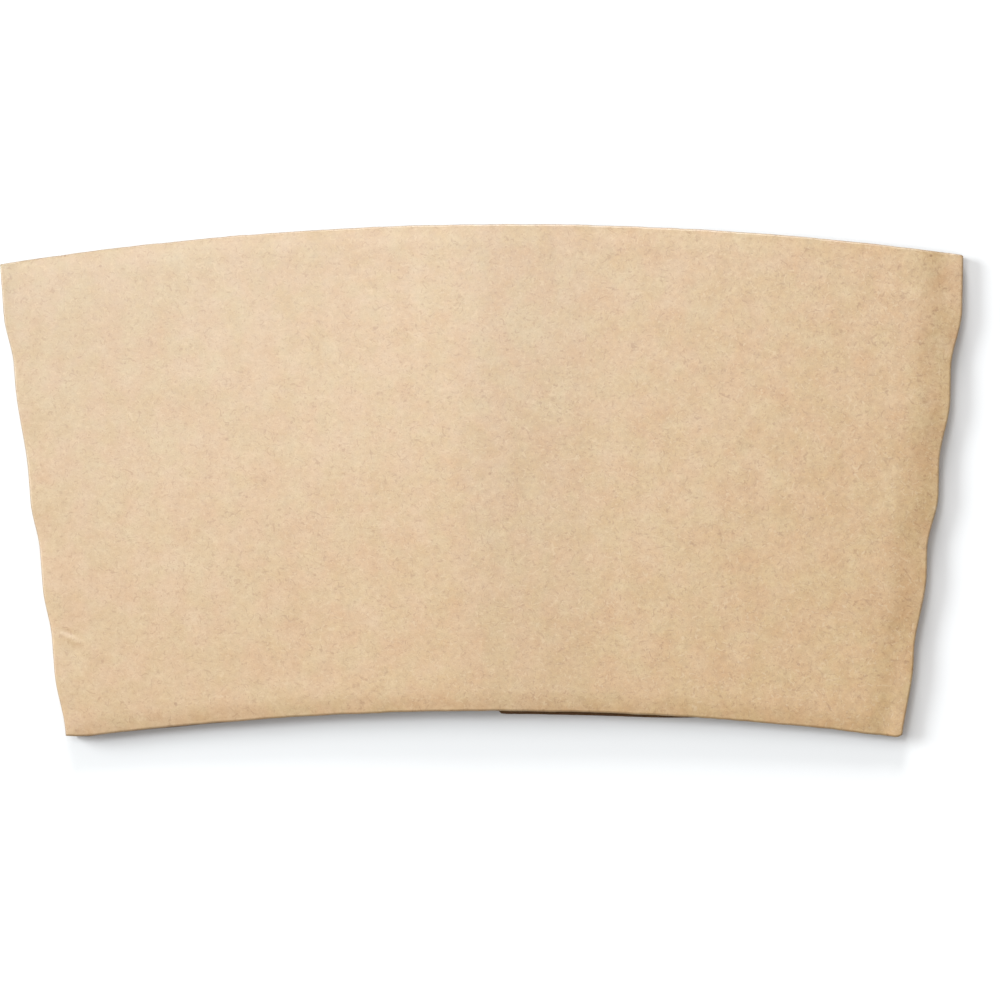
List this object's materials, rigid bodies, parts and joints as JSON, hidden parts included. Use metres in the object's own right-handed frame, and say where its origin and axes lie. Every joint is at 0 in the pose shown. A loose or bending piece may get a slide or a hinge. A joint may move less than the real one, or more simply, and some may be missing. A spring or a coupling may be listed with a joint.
{
  "type": "paper cup sleeve",
  "caption": "Curved band of fluted kraft board, folded flat at both sides and glued in a lap at the back; it opens into a tapered jacket round a hot-drink cup.",
  "frame": {"origin": "centre of the bounding box, on the plane that the folded sleeve's back rests on", "axes": "+X across the front panel from the left fold to the right one, +Y towards the wide edge (the cup's rim), +Z out of the front panel"},
  "size_m": [0.1274, 0.0676, 0.0045],
  "materials": {
    "kraft_board": "matte uncoated kraft"
  },
  "bodies": {
    "root": {"cup_sleeve": "kraft_board"}
  },
  "joints": []
}
